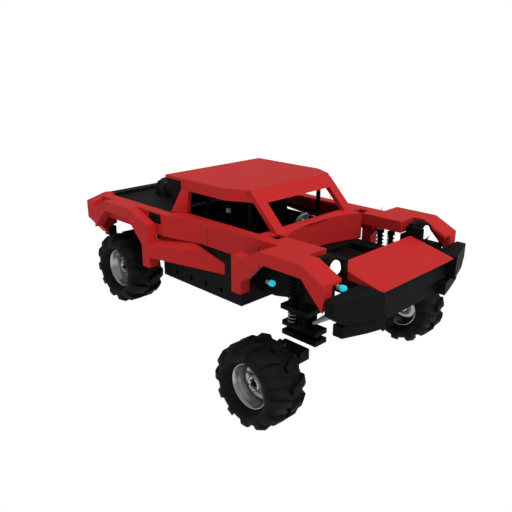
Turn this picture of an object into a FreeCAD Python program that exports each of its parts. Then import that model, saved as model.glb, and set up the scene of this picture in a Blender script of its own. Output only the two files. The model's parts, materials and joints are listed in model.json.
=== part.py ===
"""Model trophy truck built from flat studless panels and beams on an 8 mm brick module.

Frame of the drawing: +X forward, +Y left, +Z up, origin at the front end of the flat fender tops.
The body panels step in cells of one and a half modules. Every piece is drawn level and then set on
its wheels by one stance placement: the front wheels hang lower, so the parked truck sits nose up.
"""

import FreeCAD, Part
import math
import os

import Sketcher

V = FreeCAD.Vector
SIDES = {"right": -1, "left": 1}
doc = FreeCAD.newDocument("TrophyTruck")
dims = doc.addObject("Spreadsheet::Sheet", "dims")
parts = []


class Size:
    """A length in mm that carries the sheet expression giving it."""

    def __init__(self, value, text):
        self.value = float(value)
        self.text = text

    def __add__(self, other):
        other = size(other)
        return Size(self.value + other.value, f"({self.text} + {other.text})")

    def __sub__(self, other):
        other = size(other)
        return Size(self.value - other.value, f"({self.text} - {other.text})")

    def __mul__(self, factor):
        return Size(self.value * factor, f"({self.text} * {factor})")

    def __neg__(self):
        return self * -1

    __rmul__ = __mul__


def size(amount):
    return amount if isinstance(amount, Size) else Size(amount, str(amount))


def named(alias, value, meaning):
    """Put one driving dimension in the sheet and hand back its Size."""
    row = len(sheet_rows) + 1
    sheet_rows.append(alias)
    dims.set(f"A{row}", alias)
    dims.set(f"B{row}", str(value))
    dims.setAlias(f"B{row}", alias)
    dims.set(f"C{row}", meaning)
    return Size(value, f"dims.{alias}")


sheet_rows = []
cell = named("cell", 12, "step of the body panels, one and a half brick modules")
skin = named("skin", 2.4, "wall of a body panel")
pin_radius = named("pin_radius", 2.4, "radius of the pin holes in the side beams")
bar_radius = named("bar_radius", 2.4, "radius of the roll cage bars and links")
tyre_radius = named("tyre_radius", 40.8, "tyre over the lugs")
tyre_width = named("tyre_width", 44, "tyre across the shoulders")
rim_radius = named("rim_radius", 21.6, "rim at its lip")
rim_width = named("rim_width", 28, "rim between its lips")
hub_radius = named("hub_radius", 7.4, "hub boss inside the rim")
front_x = named("front_x", -33.7, "front wheel centre ahead of the origin")
front_y = named("front_y", 120.9, "front wheel centre off the middle")
front_z = named("front_z", -116.6, "front wheel centre below the fender tops")
rear_x = named("rear_x", -280.3, "rear wheel centre")
rear_y = named("rear_y", 91.4, "rear wheel centre off the middle")
rear_z = named("rear_z", -77.7, "rear wheel centre below the fender tops")
kingpin_y = named("kingpin_y", 84, "steering axis off the middle")
gap = named("gap", 0.4, "free play between moving pieces")
doc.recompute()


def body(label):
    made = doc.addObject("PartDesign::Body", label)
    made.Label = label
    return made


def keep(made, x=0, y=0, z=0):
    """Hand a sub-part in, with the point its own drawing starts from."""
    parts.append((made, [size(x), size(y), size(z)]))
    return made


def cells(outline, side=1):
    """An outline given in panel cells, mirrored in its second coordinate for the right side."""
    return [(a * cell, (side * b) * cell) for a, b in outline]


def across(side, outline):
    """A cross section given as (y, z) in cells, mirrored for the right side."""
    return [((side * a) * cell, b * cell) for a, b in outline]


def span(side, low, high):
    low, high = size(low), size(high)
    return (low, high) if side > 0 else (-high, -low)


def attach(made, plane, offset):
    sketch = made.newObject("Sketcher::SketchObject", "Outline")
    sketch.AttachmentSupport = [(f, "") for f in made.Origin.OriginFeatures if f.Role == plane]
    sketch.MapMode = "FlatFace"
    sketch.setExpression("AttachmentOffset.Base.z", offset.text)
    return sketch


def fix(sketch, kind, geometry, point, amount):
    """Hold one coordinate of a sketch point to its sheet expression."""
    if abs(amount.value) < 1e-9:
        axis = -2 if kind == "DistanceX" else -1
        sketch.addConstraint(Sketcher.Constraint("PointOnObject", geometry, point, axis))
        return
    row = sketch.addConstraint(Sketcher.Constraint(kind, -1, 1, geometry, point, amount.value))
    sketch.setExpression(f"Constraints[{row}]", amount.text)


def draw(sketch, outline):
    """Draw a closed outline of (Size, Size) corners."""
    outline = [(size(a), size(b)) for a, b in outline]
    first = sketch.GeometryCount
    count = len(outline)
    for i, (a, b) in enumerate(outline):
        c, d = outline[(i + 1) % count]
        line = Part.LineSegment(V(a.value, b.value, 0), V(c.value, d.value, 0))
        sketch.addGeometry(line, False)
    for i, (a, b) in enumerate(outline):
        following = first + (i + 1) % count
        sketch.addConstraint(Sketcher.Constraint("Coincident", first + i, 2, following, 1))
        fix(sketch, "DistanceX", first + i, 1, a)
        fix(sketch, "DistanceY", first + i, 1, b)


def ring(sketch, across_at, up_at, radius):
    across_at, up_at, radius = size(across_at), size(up_at), size(radius)
    circle = Part.Circle(V(across_at.value, up_at.value, 0), V(0, 0, 1), radius.value)
    which = sketch.addGeometry(circle, False)
    fix(sketch, "DistanceX", which, 3, across_at)
    fix(sketch, "DistanceY", which, 3, up_at)
    row = sketch.addConstraint(Sketcher.Constraint("Radius", which, radius.value))
    sketch.setExpression(f"Constraints[{row}]", radius.text)


def extrude(kind, made, plane, outlines, low, high):
    """Run outlines from low to high along the normal of an origin plane."""
    low, high = size(low), size(high)
    start = -high if plane == "XZ" else low
    sketch = attach(made, plane + "_Plane", start)
    for outline in outlines:
        if isinstance(outline, tuple):
            ring(sketch, *outline)
        else:
            draw(sketch, outline)
    feature = made.newObject(f"PartDesign::{kind}", kind)
    feature.Profile = sketch
    feature.setExpression("Length", (high - low).text)
    return feature


def pad(made, plane, outline, low, high):
    extrude("Pad", made, plane, [outline], low, high)
    doc.recompute()


def cut(made, plane, outlines, low, high):
    """Take outlines out of a body, and make sure that they take something."""
    before = made.Shape.Volume
    feature = extrude("Pocket", made, plane, outlines, low, high)
    feature.Reversed = True
    doc.recompute()
    assert made.Shape.Volume < before - 1, f"a pocket of {made.Label} cuts nothing"


def box(made, x, y, z):
    """Pad a block from three (low, high) spans."""
    (a, b), (c, d) = x, y
    pad(made, "XY", [(a, c), (b, c), (b, d), (a, d)], *z)


def turned(made, outline, plane="XY_Plane"):
    """Turn a (radius, along) outline about the sketch's upright axis."""
    sketch = attach(made, plane, size(0))
    draw(sketch, outline)
    feature = made.newObject("PartDesign::Revolution", "Turned")
    feature.Profile = sketch
    feature.ReferenceAxis = (sketch, ["V_Axis"])
    feature.Angle = 360
    doc.recompute()


def rod(start, end, radius):
    """A round bar between two points given as Sizes, as a Part primitive."""
    start, end, radius = [size(a) for a in start], [size(a) for a in end], size(radius)
    a, b = V(*[p.value for p in start]), V(*[p.value for p in end])
    made = doc.addObject("Part::Cylinder", "Bar")
    made.setExpression("Radius", radius.text)
    made.Height = (b - a).Length
    made.Placement = FreeCAD.Placement(a, FreeCAD.Rotation(V(0, 0, 1), b - a))
    return made


def joined(label, kind, pieces):
    made = doc.addObject(f"Part::{kind}", label)
    made.Label = label
    if kind == "Compound":
        made.Links = pieces
    else:
        made.Shapes = pieces
    return keep(made)


def both(label, maker):
    """One node for a mirrored pair of like pieces on the same body."""
    pair = [maker(body(f"{label}_{name}_half"), side) for name, side in SIDES.items()]
    return joined(label, "Compound", pair)


# ---- red panels -------------------------------------------------------------------------------


def fender(name, side):
    """Front fender: a flat top plate, a sloped nose and a slanted tail over the wheel arch."""
    made = body(f"fender_{name}")
    top = [(0, 9), (0, 7), (-1, 7), (-1, 5), (-5, 5), (-5, 7), (-4, 7), (-4, 9)]
    pad(made, "XY", cells(top, side), -cell, 0)
    rim = [(-6, -1), (-4, 0), (0, 0), (2, -1), (2, -3), (0, -1), (-4, -1), (-6, -3)]
    pad(made, "XZ", cells(rim), *span(side, 8 * cell, 9 * cell))
    for slope in ([(0, 0), (2, -1), (2, -1.25), (0, -0.25)], [(-6, -1), (-4, 0), (-4, -0.25), (-6, -1.25)]):
        pad(made, "XZ", cells(slope), *span(side, 7 * cell, 8 * cell))
    well = [(-0.2, 7.95), (-0.2, 7.2), (-1.2, 7.2), (-1.2, 5.2),
            (-4.8, 5.2), (-4.8, 6.8), (-3.8, 6.8), (-3.8, 7.95)]
    cut(made, "XY", [cells(well, side)], -cell, -skin)
    cut(made, "YZ", [across(side, [(8, -2.5), (9, -3), (8, -3)])], 0, 2 * cell)
    return keep(made)


def fender_post(made, side):
    box(made, (-7 * cell, -6 * cell), span(side, 8 * cell, 9 * cell), (-4 * cell, -cell))
    return made


def hood():
    made = body("hood_panel")
    pad(made, "XZ", cells([(0, -1), (4, -2), (4, -2.1), (0, -1.8)]), -5 * cell, 5 * cell)
    return keep(made)


def cowl():
    """Cowl top with the firewall that hangs from its bowed front edge."""
    made = body("cowl_panel")
    bow = [(-5, 5), (-5.6, 3.6), (-6.15, 1.1)]
    half = [(-7, 6), (-6, 6), (-6, 5)] + bow
    pad(made, "XY", cells(half + [(a, -b) for a, b in reversed(half)]), -2.35 * cell, 0)
    well = [(-8, 7), (-5.4, 7), (-5.4, 4.7)] + [(a - 0.25, b) for a, b in bow[1:]]
    cut(made, "XY", [cells(well + [(a, -b) for a, b in reversed(well)])], -2.35 * cell, -skin)
    return keep(made)


def roof():
    """Roof plate with a header band along each side, open underneath."""
    made = body("roof_panel")
    plate = [(-19, 6), (-11, 6), (-9, 5), (-8.75, 4.9)]
    header = [(-16.75, 6), (-11, 6), (-9, 5), (-8.6, 4.95)]
    for outline, low, high in ((plate, 2.75, 3), (header, 2, 2.75)):
        pad(made, "XY", cells(outline + [(a, -b) for a, b in reversed(outline)]), low * cell, high * cell)
    well = [(-17, 5.8), (-11.05, 5.8), (-9.05, 4.8), (-8.3, 4.8)]
    cut(made, "XY", [cells(well + [(a, -b) for a, b in reversed(well)])], 2 * cell, 2.75 * cell)
    cut(made, "XZ", [cells([(-9, 3), (-8, 3), (-8, 2), (-8.6, 2), (-9.35, 2.75), (-8.75, 2.75)])],
        -6 * cell, 6 * cell)
    return keep(made)


def windshield_frame():
    """One leaning frame: visor above, a pillar on each side, open where the glass would be."""
    made = body("windshield_frame")
    pad(made, "XZ", cells([(-8.75, 2.75), (-6, 0), (-6.6, 0), (-9.35, 2.75)]), -5 * cell, 5 * cell)
    window = [(-4 * cell, 0.15 * cell), (4 * cell, 0.15 * cell), (4 * cell, 2 * cell), (-4 * cell, 2 * cell)]
    cut(made, "YZ", [window], -10 * cell, -5 * cell)
    return keep(made)


def rear_pillar(name, side):
    """Roof pillar behind the door, splayed outward at its foot."""
    made = body(f"rear_pillar_{name}")
    foot = attach(made, "XY_Plane", size(0))
    draw(foot, cells([(-17.2, 6.9), (-15.9, 6.1), (-15.9, 5.7), (-17.2, 6.4)], side))
    head = attach(made, "XY_Plane", 2 * cell)
    draw(head, cells([(-16.75, 6), (-15.75, 6), (-15.75, 5.6), (-16.75, 5.6)], side))
    loft = made.newObject("PartDesign::AdditiveLoft", "Loft")
    loft.Profile = foot
    loft.Sections = [head]
    loft.Ruled = True
    doc.recompute()
    return keep(made)


def ledge_panel(label, side, outline, well, drop):
    """Side panel with a flat ledge on top and one outer wall, open underneath and inside."""
    made = body(label)
    pad(made, "XY", cells(outline, side), drop * cell, 0)
    cut(made, "XY", [cells(well, side)], drop * cell, -skin)
    return made


def door(name, side):
    outline = [(-11, 6), (-5, 6), (-5, 7), (-11, 7)]
    well = [(-11, 5.9), (-5, 5.9), (-5, 6.8), (-11, 6.8)]
    return keep(ledge_panel(f"door_panel_{name}", side, outline, well, -2))


def quarter(name, side):
    outline = [(-11, 6), (-16, 6), (-17, 7), (-17, 8), (-13, 7), (-11, 7)]
    well = [(-11, 5), (-17.1, 5), (-17.1, 7.82), (-17, 7.79), (-13, 6.79), (-11, 6.79)]
    return keep(ledge_panel(f"quarter_panel_{name}", side, outline, well, -2))


def bed_side(name, side):
    """Bed rail with the flared arch over the rear wheel."""
    outline = [(-17, 7), (-27, 7), (-27, 8), (-17, 8)]
    well = [(-17, 6.9), (-27, 6.9), (-27, 7.8), (-17, 7.8)]
    made = ledge_panel(f"bed_side_{name}", side, outline, well, -2)
    arch = [(-27, -1), (-25, 0), (-21, 0), (-18, -1), (-18, -5),
            (-19, -5), (-19, -3), (-21, -1), (-25, -1), (-27, -3)]
    pad(made, "XZ", cells(arch), *span(side, 8 * cell, 9 * cell))
    return keep(made)


def tail_corner(name, side):
    made = body(f"tail_corner_{name}")
    outline = [(9, -0.5), (9, -2.2), (7.5, -4), (7.5, -3.3), (6.5, -3.1), (6.5, 0), (7, 0)]
    pad(made, "YZ", across(side, outline), -28.2 * cell, -27 * cell)
    return keep(made)


def pod(name, side):
    """Side pod in front of the rear wheel: a wedge, low outside and tapered to the front."""
    made = body(f"side_pod_{name}")
    pad(made, "XY", cells([(-18, 7), (-18, 9), (-10, 7)], side), -4 * cell, -2 * cell)
    cut(made, "YZ", [across(side, [(7, -2), (9, -3), (9, -1), (7, -1)])], -19 * cell, -9 * cell)
    cut(made, "XZ", [cells([(-14, -2), (-10, -3), (-9, -1), (-14, -1)])], *span(side, 6 * cell, 10 * cell))
    return keep(made)


# ---- black frame ------------------------------------------------------------------------------


def rocker(name, side):
    """Side beam under the door, with a row of pin holes."""
    made = body(f"rocker_{name}")
    outline = [(-18.5, -2.1), (-8, -2.1), (-8, -6.25), (-18.5, -6.25)]
    pad(made, "XZ", cells(outline), *span(side, 6.4 * cell, 7 * cell))
    holes = [((-16.5 + 2 * i) * cell, -5.5 * cell, pin_radius) for i in range(4)]
    cut(made, "XZ", holes, *span(side, 6.3 * cell, 7.1 * cell))
    return keep(made)


def cab_tub():
    """Cab floor with a low bulkhead at each end."""
    made = body("cab_tub")
    wide = (-6.4 * cell, 6.4 * cell)
    box(made, (-18.5 * cell, -8 * cell), wide, (-6.25 * cell, -5.8 * cell))
    box(made, (-8.3 * cell, -8 * cell), wide, (-5.8 * cell, -2.4 * cell))
    box(made, (-18.5 * cell, -18.2 * cell), wide, (-5.8 * cell, -0.8 * cell))
    return keep(made)


def cab_rear_panel():
    made = body("cab_rear_panel")
    outline = [(-19, 2.75), (-16.85, 2.75), (-16.85, 2.3), (-17.3, 0.1), (-17.9, 0.1)]
    pad(made, "XZ", cells(outline), -5.95 * cell, 5.95 * cell)
    cut(made, "XZ", [cells([(-18.6, 2.5), (-16.8, 2.5), (-16.8, 0), (-17.75, 0)])], -5.5 * cell, 5.5 * cell)
    return keep(made)


def front_frame():
    """Nose frame under the hood with an open engine well and a mast for the bumper."""
    made = body("front_frame")
    wide = (-5 * cell, 5 * cell)
    outline = [(-8, -2.45), (-2.2, -2.45), (-2.2, -4.5), (-6, -5.3), (-8, -5.3)]
    pad(made, "XZ", cells(outline), *wide)
    box(made, (-2.2 * cell, 2.2 * cell), (-2.5 * cell, 2.5 * cell), (-4.4 * cell, -3 * cell))
    well = [(-5, -3.6), (-2.5, -3.6), (-2.5, 3.6), (-5, 3.6)]
    cut(made, "XY", [cells(well)], -4.2 * cell, -2 * cell)
    return keep(made)


def rear_frame():
    """Two rails from the cab to the tail with a beam across the end."""
    made = body("rear_frame")
    box(made, (-27 * cell, -18.5 * cell), (-5 * cell, -4 * cell), (-2.5 * cell, -1.2 * cell))
    box(made, (-28 * cell, -27 * cell), (-6.5 * cell, 6.5 * cell), (-1.2 * cell, 0))
    box(made, (-27.6 * cell, -27 * cell), (-6.5 * cell, 6.5 * cell), (-2.5 * cell, -1.2 * cell))
    box(made, (-27 * cell, -18.5 * cell), (4 * cell, 5 * cell), (-2.5 * cell, -1.2 * cell))
    return keep(made)


def bed_deck():
    """Bed floor with the round hole that the spare tyre drops into, held at its tread."""
    made = body("bed_deck")
    box(made, (-27 * cell, -18 * cell), (-7 * cell, 7 * cell), (-0.75 * cell, -0.25 * cell))
    reach = (tyre_radius.value + 0.1) / cell.value / math.cos(math.pi / 24)
    turns = [math.pi * i / 12 for i in range(24)]
    hole = [(-23.3 + reach * math.cos(a), reach * math.sin(a)) for a in turns]
    cut(made, "XY", [cells(hole)], -0.8 * cell, 0)
    return keep(made)


def bumper(label, outline, section_low, section_high, ends, seat=None):
    """Bumper swept back at its ends: a bowed plate with its lower corners cut away."""
    made = body(label)
    mirrored = outline + [(a, -b) for a, b in reversed(outline)]
    pad(made, "XY", cells(mirrored), section_low * cell, section_high * cell)
    for side in SIDES.values():
        cut(made, "YZ", [across(side, ends)], 0, 6 * cell)
    if seat:
        cut(made, "XY", [cells(seat)], -2.3 * cell, -1.8 * cell)
    return keep(made)


def headlight_housing(name, side):
    """Back plate and inner wing that carry the headlight under the fender nose."""
    made = body(f"headlight_housing_{name}")
    box(made, (-cell, -0.5 * cell), span(side, 5 * cell, 6.9 * cell), (-2.3 * cell, -1.05 * cell))
    box(made, (-0.5 * cell, cell), span(side, 5 * cell, 5.35 * cell), (-2.3 * cell, -0.3 * cell))
    box(made, (-0.5 * cell, 0), span(side, 5.35 * cell, 6.9 * cell), (-2.3 * cell, -0.1 * cell))
    box(made, (0, 1.4 * cell), span(side, 6.9 * cell, 7.9 * cell), (-3.2 * cell, -2 * cell))
    box(made, (-0.5 * cell, 0), span(side, 6.9 * cell, 7.9 * cell), (-3.2 * cell, -1.3 * cell))
    return keep(made)


def headlight(made, side):
    sketch = attach(made, "YZ_Plane", size(0))
    ring(sketch, (side * 6.12) * cell, -0.85 * cell, 8)
    feature = made.newObject("PartDesign::Pad", "Lens")
    feature.Profile = sketch
    feature.setExpression("Length", (0.55 * cell).text)
    doc.recompute()
    return made


def lamp(made, side):
    """Small round lamp hung in the arch behind the front wheel."""
    sketch = attach(made, "XZ_Plane", -side * 5.6 * cell if side > 0 else 5 * cell)
    ring(sketch, -5.36 * cell, -3.75 * cell, 3.2)
    feature = made.newObject("PartDesign::Pad", "Lens")
    feature.Profile = sketch
    feature.setExpression("Length", (0.6 * cell).text)
    doc.recompute()
    return made


def engine():
    made = body("engine_block")
    box(made, (-4.8 * cell, -2.8 * cell), (-2.8 * cell, 2.8 * cell), (-4.2 * cell, -2.7 * cell))
    return keep(made)


def seat(name, side):
    """Bucket seat on the cab floor with a raised headrest."""
    made = body(f"seat_{name}")
    profile = [(-13.6, -5.7), (-10.8, -5.7), (-10.8, -4.4), (-12.8, -4.6),
               (-13.4, 0.2), (-14.1, 0.2), (-13.9, -5)]
    pad(made, "XZ", cells(profile), *span(side, 1.4 * cell, 4.2 * cell))
    head = [(-14.2, 0.2), (-13.4, 0.2), (-13.5, 1.3), (-14.2, 1.3)]
    pad(made, "XZ", cells(head), *span(side, 2.2 * cell, 3.4 * cell))
    return keep(made)


def roll_cage():
    """Hoop behind the seats, two front uprights and a bar along each door top."""
    bars = []
    hoop_x, front = -15 * cell, -9.6 * cell
    for side in SIDES.values():
        y = (side * 4.4) * cell
        bars.append(rod((hoop_x, y, -5.8 * cell), (hoop_x, y, 2.2 * cell), bar_radius))
        bars.append(rod((front, y, -5.8 * cell), (front, y, 2.2 * cell), bar_radius))
        bars.append(rod((hoop_x, y, 2.2 * cell), (front, y, 2.2 * cell), bar_radius))
        bars.append(rod((hoop_x, y, -0.6 * cell), (front, y, -0.6 * cell), bar_radius))
    for x in (hoop_x, front):
        bars.append(rod((x, -4.4 * cell, 2.2 * cell), (x, 4.4 * cell, 2.2 * cell), bar_radius))
    bars.append(rod((hoop_x, -4.4 * cell, -0.6 * cell), (hoop_x, 4.4 * cell, -0.6 * cell), bar_radius))
    return joined("roll_cage", "MultiFuse", bars)


def steering_wheel():
    """Steering wheel on a leaning column."""
    made = body("steering_wheel")
    turned(made, [(7, 0), (9.5, 0), (9.5, 2.4), (2, 2.4), (2, -28), (0, -28), (0, 1.2), (7, 1.2)], "XZ_Plane")
    return made


# ---- running gear -----------------------------------------------------------------------------


def front_arm(made, side):
    """Lower arm from the nose frame down to the hub carrier, with the strut plate above it."""
    y_in, y_out = 4.4 * cell, 5.75 * cell
    for low, high in ((-7.9, -7.5), (-7.1, -6.7)):
        box(made, (-4.6 * cell, -1.1 * cell), span(side, y_in, y_out), (low * cell, high * cell))
    box(made, (-4.2 * cell, -2.1 * cell), span(side, y_in, 4.7 * cell), (-7.9 * cell, -4.95 * cell))
    box(made, (-4.2 * cell, -1.4 * cell), span(side, 4.7 * cell, 6.4 * cell), (-5.35 * cell, -4.95 * cell))
    return made


def strut(made, length):
    """Coil-over: damper body between two spring cups, turned in one piece."""
    cup, slim = 4, 2.6
    turned(made, [(0, -length), (cup, -length), (cup, 3 - length), (slim, 3 - length), (slim, -3), (cup, -3),
                  (cup, 0), (0, 0)], "XZ_Plane")
    return made


def placed(made, x, y, z):
    made.Placement = FreeCAD.Placement(V(size(x).value, size(y).value, size(z).value), FreeCAD.Rotation())
    return made


def struts(label, places):
    pieces = []
    for i, (x, y, z, length) in enumerate(places):
        pieces.append(placed(strut(body(f"{label}_{i}"), size(length).value), x, y, z))
    return joined(label, "Compound", pieces)


def knuckle(name, side):
    """Hub carrier on the kingpin: upright, steering ears and the stub axle for the wheel."""
    made = body(f"knuckle_{name}")
    box(made, (-1.25 * cell, 1.25 * cell), span(side, -1.1 * cell, 0), (0.7 * cell, 1.6 * cell))
    box(made, (-0.7 * cell, 0.7 * cell), span(side, -0.6 * cell, 0), (-0.9 * cell, 0.7 * cell))
    stub = [(0, 0, 0.32 * cell)]
    low, high = span(side, -0.1 * cell, front_y - kingpin_y)
    extrude("Pad", made, "XZ", stub, low, high)
    turned(made, [(0, -1.4 * cell), (3, -1.4 * cell), (3, 2 * cell), (0, 2 * cell)], "XZ_Plane")
    return keep(made, front_x, side * kingpin_y, front_z)


def steering_link(made, side):
    turned(made, [(0, 0), (1.6, 0), (4, 26), (4, 34), (0, 34)])
    turn = 180 if side > 0 else 0
    made.Placement = FreeCAD.Placement(V(-1.7 * cell.value, side * 5.3 * cell.value, -6.2 * cell.value),
                                       FreeCAD.Rotation(V(0, 0, 1), turn))
    return made


def rear_axle():
    """Live axle: tube, middle casing and the stub that each rear wheel runs on."""
    made = body("rear_axle")
    middle = [(0, -16), (14, -16), (14, 16), (0, 16)]
    turned(made, middle)
    for low, high in ((-rear_y, size(-12)), (size(12), rear_y)):
        extrude("Pad", made, "XZ", [(0, 0, 0.32 * cell)], low, high)
        doc.recompute()
    return keep(made, rear_x, 0, rear_z)


def rear_links():
    """Trailing links from the cab tub to the axle."""
    bars = []
    for side in SIDES.values():
        y = (side * 3.6) * cell
        bars.append(rod((-18.45 * cell, y, -5.4 * cell), (rear_x + 3, y, rear_z), bar_radius * 1.4))
    return joined("rear_links", "Compound", bars)


def rim(label, side, x, y, z):
    """Deep dished rim: barrel between two lips, a disc well inside and a hub boss."""
    made = body(label)
    half = rim_width * 0.5
    wall, disc = 1.8, -side * 4
    bore = 0.32 * cell + gap
    turned(made, [(rim_radius, -half), (rim_radius, half),
                  (rim_radius - wall, half), (rim_radius - wall, -half)])
    turned(made, [(bore, size(disc - 1.5)), (rim_radius - wall * 0.5, size(disc - 1.5)),
                  (rim_radius - wall * 0.5, size(disc + 1.5)), (bore, size(disc + 1.5))])
    turned(made, [(bore, -half * 0.6), (hub_radius, -half * 0.6),
                  (hub_radius, half * 0.6), (bore, half * 0.6)])
    return keep(made, x, y, z)


def tyre(label, x, y, z, place=True):
    """Tyre over the rim: bead, sidewalls and crown, the lugs included in its outer radius."""
    made = body(label)
    half, bead = tyre_width * 0.5, rim_width * 0.5
    inner = rim_radius + 0.05
    shoulder = tyre_radius - 5
    turned(made, [(inner, -bead), (inner + 4, -half + 1), (shoulder, -half), (tyre_radius, -half + 6),
                  (tyre_radius, half - 6), (shoulder, half), (inner + 4, half - 1), (inner, bead)])
    return keep(made, x, y, z) if place else made


# ---- assembly ---------------------------------------------------------------------------------

for side_name, side_sign in SIDES.items():
    for maker in (fender, rear_pillar, door, quarter, bed_side, tail_corner, pod, rocker,
                  headlight_housing, seat):
        maker(side_name, side_sign)
    knuckle(side_name, side_sign)
    wheels = {
        f"front_{side_name}": (front_x, side_sign * front_y, front_z),
        f"rear_{side_name}": (rear_x, side_sign * rear_y, rear_z),
    }
    for wheel, (wheel_x, wheel_y, wheel_z) in wheels.items():
        rim(f"rim_{wheel}", side_sign, wheel_x, wheel_y, wheel_z)
        tyre(f"tyre_{wheel}", wheel_x, wheel_y, wheel_z)
for maker in (hood, cowl, roof, windshield_frame, cab_tub, cab_rear_panel, front_frame, rear_frame, bed_deck,
              engine, roll_cage, rear_axle, rear_links):
    maker()
for pair_label, maker in (("fender_posts", fender_post), ("headlight_lenses", headlight),
                          ("arch_lamps", lamp), ("front_arms", front_arm), ("steering_links", steering_link)):
    both(pair_label, maker)
bumper("upper_bumper", [(2.2, 9), (3, 9), (4.3, 5), (3.5, 5)], -3.75, -1.9,
       [(9.1, -3), (8, -3.8), (9.1, -3.8)], [(2, -5.1), (4.4, -5.1), (4.4, 5.1), (2, 5.1)])
bumper("lower_bumper", [(2.2, 8), (3, 8), (4, 4.2), (3.2, 4.2)], -5, -4,
       [(8.1, -4.85), (4.3, -5.1), (8.1, -5.1)])
column = steering_wheel()
placed(column, -9.9 * cell, 2.6 * cell, -1.2 * cell)
column.Placement.Rotation = FreeCAD.Rotation(V(0, 1, 0), -60)
joined("steering_column", "Compound", [column])
struts("front_coilovers", [(x * cell, (side * 5.8) * cell, top * cell, length * cell)
                           for side in SIDES.values() for x in (-3.5, -2.4)
                           for top, length in ((-1.35, 3.6), (-5.35, 1.35))])
struts("rear_coilovers", [(-22.6 * cell, (side * 4.5) * cell, -2.5 * cell, 3.4 * cell)
                          for side in SIDES.values()])
spare = tyre("spare_tyre_flat", 0, 0, 0, place=False)
spare.Placement = FreeCAD.Placement(V(-23.3 * cell.value, 0, cell.value - tyre_width.value / 2),
                                    FreeCAD.Rotation(V(1, 0, 0), 90))
joined("spare_tyre", "Compound", [spare])

doc.recompute()


def stance(rotation):
    """Placement that puts all four tyres on the floor with the whole truck centred over the origin."""
    boxes = FreeCAD.BoundBox()
    for made, start in parts:
        shape = made.Shape.copy()
        shape.Placement = FreeCAD.Placement(V(), rotation).multiply(local(made, start))
        boxes.add(shape.BoundBox)
    wheel = rotation.multVec(V(rear_x.value, 0, rear_z.value))
    return FreeCAD.Placement(V(-(boxes.XMin + boxes.XMax) / 2, 0, tyre_radius.value - wheel.z), rotation)


def local(made, start):
    return FreeCAD.Placement(V(*[amount.value for amount in start]), FreeCAD.Rotation())


nose_up = math.atan2(rear_z.value - front_z.value, front_x.value - rear_x.value)
rotation = FreeCAD.Rotation(V(0, 1, 0), -math.degrees(nose_up))
parked = stance(rotation)
for made, start in parts:
    made.Placement = parked.multiply(local(made, start))
doc.recompute()

for obj in doc.Objects:
    assert "Invalid" not in obj.State and "Error" not in obj.State, f"{obj.Label}: {obj.State}"
os.makedirs("parts", exist_ok=True)
for made, _ in parts:
    assert not made.Shape.isNull() and made.Shape.isValid(), f"{made.Label} has no valid shape"
    made.Shape.exportStep(f"parts/{made.Label}.step")
kingpin = parked.multVec(V(front_x.value, kingpin_y.value, front_z.value))
upright = parked.Rotation.multVec(V(0, 0, 1))
print(len(parts), "sub-parts; kingpin at", kingpin, "along", upright)
print("front wheel at", parked.multVec(V(front_x.value, front_y.value, front_z.value)))
print("rear wheel at", parked.multVec(V(rear_x.value, rear_y.value, rear_z.value)))
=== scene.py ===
import json
import math

import bmesh
import bpy
from mathutils import Matrix, Vector


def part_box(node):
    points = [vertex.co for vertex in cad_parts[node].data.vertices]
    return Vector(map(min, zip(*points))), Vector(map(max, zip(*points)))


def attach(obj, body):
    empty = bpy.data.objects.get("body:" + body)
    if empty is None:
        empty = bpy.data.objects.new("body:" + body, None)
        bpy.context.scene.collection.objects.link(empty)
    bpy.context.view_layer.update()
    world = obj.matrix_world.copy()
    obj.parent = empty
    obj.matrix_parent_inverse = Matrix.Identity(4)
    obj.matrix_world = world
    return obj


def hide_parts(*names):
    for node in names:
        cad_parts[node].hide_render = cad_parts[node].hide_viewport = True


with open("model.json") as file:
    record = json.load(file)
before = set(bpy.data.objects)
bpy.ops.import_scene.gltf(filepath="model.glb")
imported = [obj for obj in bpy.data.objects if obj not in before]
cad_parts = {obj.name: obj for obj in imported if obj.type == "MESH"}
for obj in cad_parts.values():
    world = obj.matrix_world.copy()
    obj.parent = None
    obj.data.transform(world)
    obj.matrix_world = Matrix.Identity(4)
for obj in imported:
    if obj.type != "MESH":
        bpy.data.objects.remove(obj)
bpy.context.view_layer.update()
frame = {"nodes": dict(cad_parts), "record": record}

# ---- stance ---------------------------------------------------------------------------------------
# The body is drawn level, in mm, from the front end of the flat fender tops. On its four wheels it
# stands nose up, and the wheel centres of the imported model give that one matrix.

SIDES = {"right": -1, "left": 1}
MM = 0.001
CELL = 12.0
DRAWN_FRONT = Vector((-33.7, 120.9, -116.6))
DRAWN_REAR = Vector((-280.3, 91.4, -77.7))


def middle(node):
    low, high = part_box(node)
    return (low + high) / 2


front_hub, rear_hub = middle("tyre_front_left"), middle("tyre_rear_left")
drawn_pitch = math.atan2(DRAWN_FRONT.z - DRAWN_REAR.z, DRAWN_FRONT.x - DRAWN_REAR.x)
stood_pitch = math.atan2(front_hub.z - rear_hub.z, front_hub.x - rear_hub.x)
turn = Matrix.Rotation(drawn_pitch - stood_pitch, 4, "Y") @ Matrix.Scale(MM, 4)
drawn_hub = Vector((DRAWN_REAR.x, rear_hub.y / MM, DRAWN_REAR.z))
stance = Matrix.Translation(rear_hub - turn @ drawn_hub) @ turn

# ---- camera ---------------------------------------------------------------------------------------
# A long lens off the right front corner, a little above the roof. Its place and its two directions
# are given in the level drawing and stand with the truck.

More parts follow.
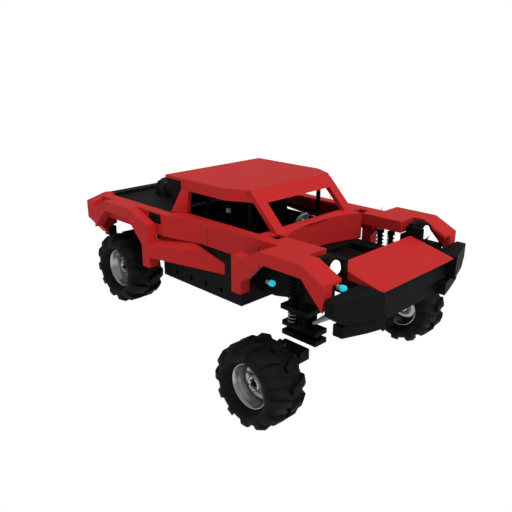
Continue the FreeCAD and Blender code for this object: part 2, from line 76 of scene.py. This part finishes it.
eye = stance @ Vector((298.97, -455.60, 168.59))
ahead = (stance.to_3x3() @ Vector((-0.66983, 0.66423, -0.33185))).normalized()
rightward = (stance.to_3x3() @ Vector((0.70408, 0.71012, 0.0002))).normalized()
upward = rightward.cross(ahead).normalized()
camera_data = bpy.data.cameras.new("camera")
camera_data.sensor_width = 36.0
camera_data.lens = 42.13
camera_data.clip_start = 0.01
camera = bpy.data.objects.new("camera", camera_data)
axes = Matrix((rightward, upward, -ahead)).transposed()
camera.matrix_world = Matrix.Translation(eye) @ axes.to_4x4()
bpy.context.scene.collection.objects.link(camera)
bpy.context.scene.camera = camera

# ---- red panels -----------------------------------------------------------------------------------
# Hood, cowl, roof, pillars, doors, fenders and bed sides are injection moulded in red plastic, with a
# satin skin. They are pushed onto the black frame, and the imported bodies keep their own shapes.


class Shade:
    """A socket of one material's nodes, with the arithmetic that the materials use."""

    def __init__(self, tree, socket=None):
        self.tree, self.socket = tree, socket

    def node(self, kind, settings=None, **sockets):
        """A node of a kind, its settings made first; _0 is its first socket, others go by name."""
        made = self.tree.nodes.new(kind)
        for name, value in (settings or {}).items():
            setattr(made, name, value)
        for name, value in sockets.items():
            key = name[1:]
            place = made.inputs[int(key) if key.isdigit() else name.replace("_", " ")]
            if isinstance(value, Shade):
                self.tree.links.new(value.socket, place)
            else:
                place.default_value = value
        return made

    def made(self, kind, output=0, settings=None, **sockets):
        return Shade(self.tree, self.node(kind, settings, **sockets).outputs[output])

    def maths(self, operation, other):
        return self.made("ShaderNodeMath", 0, {"operation": operation}, _0=self, _1=other)

    def __mul__(self, other):
        return self.maths("MULTIPLY", other)

    def __add__(self, other):
        return self.maths("ADD", other)

    __rmul__, __radd__ = __mul__, __add__


def emptied(owner):
    """The start of a material's or a world's nodes, with nothing in it."""
    owner.use_nodes = True
    owner.node_tree.nodes.clear()
    return Shade(owner.node_tree)


DRIFT_SCALE, ROUGH_DRIFT, ROUGH_GRAIN = 22.0, 0.08, 0.06
GRAIN_DEPTH = 0.0004
PLASTIC_SHINE, METAL_SHINE = 0.1, 0.5


def finish(name, dark, light, rough, metal=0.0, grain=900.0, bump=0.02, glow=None):
    """One moulded or plated finish: tone drift, roughness drift and a fine grain in the normal."""
    made = bpy.data.materials.new(name)
    start = emptied(made)
    place = start.made("ShaderNodeTexCoord", "Object")
    broad = start.made("ShaderNodeTexNoise", "Fac", Vector=place, Scale=DRIFT_SCALE, Detail=3.0)
    fine = start.made("ShaderNodeTexNoise", "Fac", Vector=place, Scale=grain, Detail=5.0)
    tone = start.made("ShaderNodeMix", 2, {"data_type": "RGBA"}, _0=broad, _6=(*dark, 1), _7=(*light, 1))
    roughness = broad * ROUGH_DRIFT + fine * ROUGH_GRAIN + (rough - (ROUGH_DRIFT + ROUGH_GRAIN) / 2)
    relief = start.made("ShaderNodeBump", 0, Height=fine, Strength=bump, Distance=GRAIN_DEPTH)
    surface = {"Base_Color": tone, "Roughness": roughness, "Normal": relief, "Metallic": metal}
    # Emission here is a painted glow on unlit clear plastic, painted brightness and not a lamp.
    if glow:
        surface |= {"Emission_Color": (*glow, 1), "Emission_Strength": 1.0}
    shine = METAL_SHINE if metal else PLASTIC_SHINE
    shader = start.made("ShaderNodeBsdfPrincipled", Specular_IOR_Level=shine, **surface)
    start.node("ShaderNodeOutputMaterial", Surface=shader)
    return made


slot_of = {part["node"]: part["material_slot"] for part in frame["record"]["subparts"]}
finishes = {}


def dress(slot, *tones, **texture):
    """Make a slot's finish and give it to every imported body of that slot."""
    finishes[slot] = finish(slot, *tones, **texture)
    for node, shown in frame["nodes"].items():
        if slot_of[node] == slot:
            shown.data.materials.clear()
            shown.data.materials.append(finishes[slot])


dress("red_plastic", (0.530, 0.0200, 0.0200), (0.560, 0.0225, 0.0225), 0.6)

# ---- black beams and grey connectors --------------------------------------------------------------
# Frame, bumpers, cage, seats and axle are moulded in matte black plastic. The steering links and the
# column are light grey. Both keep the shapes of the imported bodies.

dress("black_plastic", (0.0025, 0.0025, 0.0025), (0.0045, 0.0045, 0.0045), 0.7)
dress("grey_plastic", (0.36, 0.38, 0.39), (0.42, 0.44, 0.45), 0.45)

# ---- wheels ---------------------------------------------------------------------------------------
# Soft rubber tyres with staggered paddle lugs that wrap the shoulder, pressed on deep dished rims
# with a metallised finish. The rim turns on the hub carrier's stub through its hub boss.

TYRE_RADIUS, CARCASS_RADIUS, TYRE_HALF = 40.8, 36.6, 22.0
TURN_STEPS = 96
LUGS, LUG_SKEW, LUG_ROOT, LUG_FLARE = 12, 0.16, 3.4, 0.9
LUG_STATIONS = ((0.8, TYRE_RADIUS, 2.6), (15.0, TYRE_RADIUS - 0.3, 3.6), (20.4, 37.6, 4.2), (21.9, 33.2, 4.3))
CARCASS = [(36.6, 0), (36.6, 8), (36.4, 14), (35.4, 18), (33.0, 20.6), (29.5, 21.6), (26.4, 21.2),
           (24.6, 19.4), (23.6, 17.2), (22.2, 16.2), (21.7, 14.0)]
RIM = [(21.6, 14), (21.0, 14.3), (20.4, 14.0), (19.9, 12.2), (18.9, 11.4), (18.9, 8.6), (17.7, 7.9),
       (17.5, 1.2), (16.9, 0.2), (7.6, 0.2), (7.4, 0.6), (7.4, 8.2), (6.8, 8.9), (4.3, 8.9), (4.3, -8.4),
       (7.4, -8.4), (7.4, -3.0), (17.4, -3.0), (18.7, -10.6), (20.2, -12.4), (20.4, -14.0), (21.6, -14),
       (21.6, -12.9), (20.9, -12.3), (20.9, 12.3), (21.6, 12.9)]
SPOKES, SPOKE_SIZE, SPOKE_MIDDLE, SPOKE_OUT = 6, (9.8, 1.6, 1.1), 12.4, 0.9
AXLE_RADIUS, PIN_RADIUS, PIN_CIRCLE, PINS = 2.3, 1.05, 5.85, 3
PIN_DEPTH, PIN_MIDDLE = 6, 6.3
TREAD_TURN = {"front": 0.25, "rear": 0.1}

dress("tyre_rubber", (0.0045, 0.0045, 0.0045), (0.0080, 0.0080, 0.0080), 0.68, grain=2400, bump=0.2)
dress("rim_metal", (0.34, 0.34, 0.34), (0.42, 0.42, 0.42), 0.26, metal=1.0, bump=0.01)


def joined_rings(mesh, rings, closed, smooth):
    """Skin a row of rings of vertices, and join the last ring to the first where it is closed."""
    pairs = zip(rings, rings[1:] + rings[:1] if closed else rings[1:])
    for near, far in pairs:
        for j in range(len(near)):
            k = (j + 1) % len(near)
            mesh.faces.new((near[j], near[k], far[k], far[j])).smooth = smooth
    if not closed:
        mesh.faces.new(rings[0])
        mesh.faces.new(rings[-1])


def turned(mesh, profile, sign=1.0):
    """Turn a closed (radius, along) profile about the wheel's axle."""
    rings = []
    for i in range(TURN_STEPS):
        a = 2 * math.pi * i / TURN_STEPS
        rings.append([mesh.verts.new((r * math.cos(a), sign * y, r * math.sin(a))) for r, y in profile])
    joined_rings(mesh, rings, closed=True, smooth=True)


def lug(mesh, angle, side):
    """One paddle lug from the crown over the shoulder, its outer end carried round by the skew."""
    rows = []
    for y, top, half in LUG_STATIONS:
        at = angle + LUG_SKEW * y / TYRE_HALF
        row = []
        for radius, spread in ((min(top, CARCASS_RADIUS) - LUG_ROOT, half + LUG_FLARE), (top, half)):
            for edge in (-1, 1):
                a = at + edge * spread / TYRE_RADIUS
                row.append(mesh.verts.new((radius * math.cos(a), side * y, radius * math.sin(a))))
        rows.append([row[0], row[1], row[3], row[2]])
    joined_rings(mesh, rows, closed=False, smooth=False)


def tyre_mesh():
    mesh = bmesh.new()
    turned(mesh, CARCASS + [(r, -y) for r, y in reversed(CARCASS[1:])])
    step = 2 * math.pi / LUGS
    for i in range(LUGS):
        lug(mesh, i * step, 1)
        lug(mesh, (i + 0.5) * step, -1)
    return mesh


def rim_mesh(outward):
    mesh = bmesh.new()
    turned(mesh, RIM, outward)
    bar = Matrix.Translation((SPOKE_MIDDLE, outward * SPOKE_OUT, 0)) @ Matrix.Diagonal((*SPOKE_SIZE, 1))
    for i in range(SPOKES):
        around = Matrix.Rotation(2 * math.pi * i / SPOKES, 4, "Y")
        bmesh.ops.create_cube(mesh, size=1.0, matrix=around @ bar)
    return mesh


def hub_mesh(outward):
    """Axle end and three pins that show in the hub boss."""
    mesh = bmesh.new()
    spots = [(0, 0, AXLE_RADIUS)]
    for i in range(PINS):
        a = math.pi / 2 + 2 * math.pi * i / PINS
        spots.append((PIN_CIRCLE * math.cos(a), PIN_CIRCLE * math.sin(a), PIN_RADIUS))
    for x, z, radius in spots:
        place = Matrix.Translation((x, outward * PIN_MIDDLE, z)) @ Matrix.Rotation(math.pi / 2, 4, "X")
        bmesh.ops.create_cone(mesh, cap_ends=True, segments=24, radius1=radius, radius2=radius,
                              depth=PIN_DEPTH, matrix=place)
    return mesh


def piece(name, mesh, place, body, slot, *nodes):
    """Put a finished bmesh in its place, with its slot, its body and the CAD nodes it stands for."""
    data = bpy.data.meshes.new(name)
    bmesh.ops.transform(mesh, matrix=place, verts=mesh.verts)
    bmesh.ops.recalc_face_normals(mesh, faces=mesh.faces)
    mesh.to_mesh(data)
    mesh.free()
    data.materials.append(finishes[slot])
    made = bpy.data.objects.new(name, data)
    bpy.context.scene.collection.objects.link(made)
    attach(made, body)
    if nodes:
        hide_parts(*nodes)


for end, tread_turn in TREAD_TURN.items():
    for name, sign in SIDES.items():
        wheel = f"{end}_{name}"
        body = f"wheel_{wheel}"
        hub = Matrix.Translation(middle(f"tyre_{wheel}")) @ Matrix.Scale(MM, 4)
        tread = hub @ Matrix.Rotation(tread_turn, 4, "Y")
        piece(f"lugged_tyre_{wheel}", tyre_mesh(), tread, body, "tyre_rubber", f"tyre_{wheel}")
        piece(f"dished_rim_{wheel}", rim_mesh(sign), hub, body, "rim_metal", f"rim_{wheel}")
        piece(f"hub_pins_{wheel}", hub_mesh(sign), hub, body, "black_plastic")

# ---- spare tyre -----------------------------------------------------------------------------------
# The same tyre without a rim. It lies flat in the round hole of the bed deck, held by its tread.

level = stance.to_3x3().normalized().to_4x4()
flat = Matrix.Rotation(math.pi / 2, 4, "X")
spare_place = Matrix.Translation(middle("spare_tyre")) @ level @ flat @ Matrix.Scale(MM, 4)
piece("lugged_spare_tyre", tyre_mesh(), spare_place, "root", "tyre_rubber", "spare_tyre")

# ---- coil springs ---------------------------------------------------------------------------------
# Steel wire wound round the damper bodies, black but for one grey spring on each side. Each sits
# between the two cups of its coil-over and stays with the frame.

COIL_RADIUS, WIRE_RADIUS = 3.6, 0.62
STEPS_A_TURN, WIRE_SIDES = 20, 8
FRONT_SPRINGS = ((-1.6, 3.0, 9), (-5.55, 0.9, 3))
GREY_SPRING = 1


def coil_mesh(turns, height):
    """A wire wound downward from the origin."""
    mesh = bmesh.new()
    sections = turns * STEPS_A_TURN
    rings = []
    for i in range(sections + 1):
        a = 2 * math.pi * i / STEPS_A_TURN
        out = Vector((math.cos(a), math.sin(a), 0))
        centre = COIL_RADIUS * out - Vector((0, 0, height * i / sections))
        ring = []
        for k in range(WIRE_SIDES):
            b = 2 * math.pi * k / WIRE_SIDES
            across = math.cos(b) * out + Vector((0, 0, math.sin(b)))
            ring.append(mesh.verts.new(centre + WIRE_RADIUS * across))
        rings.append(ring)
    joined_rings(mesh, rings, closed=False, smooth=True)
    return mesh


springs = [(x, 5.8, *spring) for x in (-3.5, -2.4) for spring in FRONT_SPRINGS]
springs.append((-22.6, 4.5, -2.75, 2.9, 9))
for name, sign in SIDES.items():
    for i, (x, y, top, drop, turns) in enumerate(springs):
        place = stance @ Matrix.Translation((x * CELL, sign * y * CELL, top * CELL))
        slot = "grey_plastic" if i == GREY_SPRING else "black_plastic"
        piece(f"spring_{name}_{i}", coil_mesh(turns, drop * CELL), place, "root", slot)

# ---- panel seams ----------------------------------------------------------------------------------
# Thin joint lines where one moulded panel meets the next along the door sides, shown as narrow dark
# strips let into the surface.

SEAMS = ((-11.0, -1.9, -0.05), (-5.0, -1.0, -0.05))
SIDE_FACE, SEAM_HALF, SEAM_DEPTH = 8.0, 0.02, 0.01


def block(low, high):
    """A plain block between two corners given in cells."""
    mesh = bmesh.new()
    low, high = Vector(low), Vector(high)
    shape = Matrix.Translation((low + high) / 2) @ Matrix.Diagonal((*(high - low), 1))
    bmesh.ops.create_cube(mesh, size=1.0, matrix=Matrix.Scale(CELL, 4) @ shape)
    return mesh


for name, sign in SIDES.items():
    for i, (x, low, high) in enumerate(SEAMS):
        y = sign * SIDE_FACE
        strip = block((x - SEAM_HALF, y - SEAM_DEPTH, low), (x + SEAM_HALF, y + SEAM_DEPTH, high))
        piece(f"seam_{name}_{i}", strip, stance, "root", "black_plastic")

# ---- lamps ----------------------------------------------------------------------------------------
# Round headlights: a moulded black ring round a domed clear lens with a painted white glow, and two pairs of
# small clear cyan lamps with a painted cyan glow, each pushed on a grey pin under the fenders. The pieces
# hold no light.

LAMP_STEPS, RIM_CHAMFER = 48, 0.5
HEADLIGHT = (9, 73.5, -9.5)
LENS_STEP = 0.5
CYAN_LAMPS = ((-62, 74, -44), (15, 66, -29))
PIN_BACK = 3.5
DOME_SHOULDER, DOME_TIP = 0.7, 0.02

# Both clear lens finishes carry a painted glow: emission on unlit plastic pieces.
dress("white_lens", (0.85, 0.85, 0.85), (0.95, 0.95, 0.95), 0.3, glow=(0.75, 0.75, 0.75))
dress("cyan_lens", (0.02, 0.30, 0.40), (0.04, 0.40, 0.50), 0.3, glow=(0.01, 0.42, 0.58))


def round_piece(radius, depth, hollow=0.0, dome=0.0):
    """A disc or ring about x, its face at x = 0, with an optional dome forward."""
    mesh = bmesh.new()
    profile = [(hollow, -depth), (radius, -depth), (radius, -RIM_CHAMFER), (radius - RIM_CHAMFER, 0)]
    if dome:
        profile += [(radius * DOME_SHOULDER * (1 - dome * 0.05), dome * DOME_SHOULDER), (DOME_TIP, dome)]
    else:
        profile.append((hollow, 0))
    rings = []
    for i in range(LAMP_STEPS):
        a = 2 * math.pi * i / LAMP_STEPS
        rings.append([mesh.verts.new((x, r * math.cos(a), r * math.sin(a))) for r, x in profile])
    joined_rings(mesh, rings, closed=True, smooth=False)
    return mesh


def lamp_piece(name, slot, spot, shape, *nodes):
    piece(name, round_piece(*shape), stance @ Matrix.Translation(spot), "root", slot, *nodes)


for name, sign in SIDES.items():
    x, y, z = HEADLIGHT
    lens_node = ("headlight_lenses",) if name == "right" else ()
    lamp_piece(f"lamp_ring_{name}", "black_plastic", (x, sign * y, z), (10.2, 7, 7.9))
    lamp_piece(f"lamp_lens_{name}", "white_lens", (x + LENS_STEP, sign * y, z), (6.9, 6, 0, 3.0), *lens_node)
    for i, (x, y, z) in enumerate(CYAN_LAMPS):
        lamp_node = ("arch_lamps",) if (name, i) == ("right", 0) else ()
        lamp_piece(f"cyan_lamp_{name}_{i}", "cyan_lens", (x, sign * y, z), (2.9, 4, 0, 1.2), *lamp_node)
        lamp_piece(f"lamp_pin_{name}_{i}", "grey_plastic", (x - PIN_BACK, sign * y, z), (2.2, 5))

# ---- small fittings -------------------------------------------------------------------------------
# Bricks, tiles and pins that fill the engine bay, the cab and the tail: moulded blocks with a small
# bevel, pushed onto the studs of the piece beside them.

FITTING_BEVEL = 0.35
CENTRE_FITTINGS = {
    "engine_valley": ("grey_plastic", (-4.5, -1.0, -3.55), (-3.3, 0.9, -3.25)),
    "engine_intake": ("black_plastic", (-4.4, -0.4, -3.25), (-3.2, 0.4, -2.7)),
    "engine_bracket": ("grey_plastic", (-4.7, -3.1, -3.2), (-4.0, -2.4, -2.6)),
    "dash_top": ("black_plastic", (-7.9, -4.6, -1.5), (-7.3, 4.6, -0.8)),
    "gear_tower": ("black_plastic", (-11.8, -0.5, -5.7), (-11.0, 0.5, -3.6)),
}
PAIRED_FITTINGS = {
    "headrest": ("black_plastic", (-13.5, 1.9, 0.3), (-12.9, 3.7, 1.2)),
    "headrest_pin": ("grey_plastic", (-13.1, 3.75, 0.2), (-12.7, 4.0, 0.6)),
    "blank_tile": ("black_plastic", (-19.0, 7.95, -0.95), (-17.3, 8.06, -0.1)),
    "tail_block": ("black_plastic", (-28.0, 6.55, -4.3), (-27.1, 7.4, -3.4)),
    "tail_pin": ("grey_plastic", (-26.8, 5.2, -1.9), (-26.3, 5.6, -1.2)),
    "shock_top": ("grey_plastic", (-3.8, 5.55, -1.32), (-3.2, 6.05, -1.12)),
    "bumper_strip": ("grey_plastic", (2.0, 5.6, -3.9), (2.3, 6.3, -3.75)),
}


def fitting(name, slot, low, high):
    mesh = block(low, high)
    bmesh.ops.bevel(mesh, geom=mesh.edges[:], offset=FITTING_BEVEL, segments=2, affect="EDGES")
    piece(name, mesh, stance, "root", slot)


for label, (slot, low, high) in CENTRE_FITTINGS.items():
    fitting(label, slot, low, high)
for name, sign in SIDES.items():
    for label, (slot, (x0, near, z0), (x1, far, z1)) in PAIRED_FITTINGS.items():
        y0, y1 = sorted((sign * near, sign * far))
        fitting(f"{label}_{name}", slot, (x0, y0, z0), (x1, y1, z1))

# ---- floor, backdrop and light --------------------------------------------------------------------
# A plain white paper floor and a white surround. The camera sees both as pure white, and the truck is
# lit by a dimmer surround and one soft sun from above and in front.

FLOOR_HALF = 30
WHITE = (1, 1, 1, 1)
PAPER_TONE = (0.85, 0.85, 0.85, 1)
SURROUND_LIGHT = 0.46

floor_mesh = bmesh.new()
bmesh.ops.create_grid(floor_mesh, x_segments=1, y_segments=1, size=FLOOR_HALF)
floor_data = bpy.data.meshes.new("floor")
floor_mesh.to_mesh(floor_data)
floor_mesh.free()
floor = bpy.data.objects.new("floor", floor_data)
bpy.context.scene.collection.objects.link(floor)

paper = bpy.data.materials.new("white_paper")
start = emptied(paper)
seen = start.made("ShaderNodeLightPath", "Is Camera Ray")
mirrored = Shade(start.tree, seen.socket.node.outputs["Is Glossy Ray"])
plain = start.made("ShaderNodeBsdfDiffuse", Color=PAPER_TONE)
glowing = start.made("ShaderNodeEmission", Color=WHITE, Strength=1.0)
start.node("ShaderNodeOutputMaterial",
           Surface=start.made("ShaderNodeMixShader", _0=seen + mirrored, _1=plain, _2=glowing))
floor_data.materials.append(paper)

world = bpy.data.worlds.new("studio")
bpy.context.scene.world = world
start = emptied(world)
seen = start.made("ShaderNodeLightPath", "Is Camera Ray")
dim = start.made("ShaderNodeBackground", Color=WHITE, Strength=SURROUND_LIGHT)
white = start.made("ShaderNodeBackground", Color=WHITE, Strength=1.0)
start.node("ShaderNodeOutputWorld", Surface=start.made("ShaderNodeMixShader", _0=seen, _1=dim, _2=white))

sun_data = bpy.data.lights.new("sun", "SUN")
sun_data.energy = 1.75
sun_data.angle = 0.5
sun = bpy.data.objects.new("sun", sun_data)
sun.rotation_euler = Vector((-0.42, -0.02, -0.9)).to_track_quat("-Z", "Y").to_euler()
bpy.context.scene.collection.objects.link(sun)
bpy.context.scene.view_settings.view_transform = "Standard"
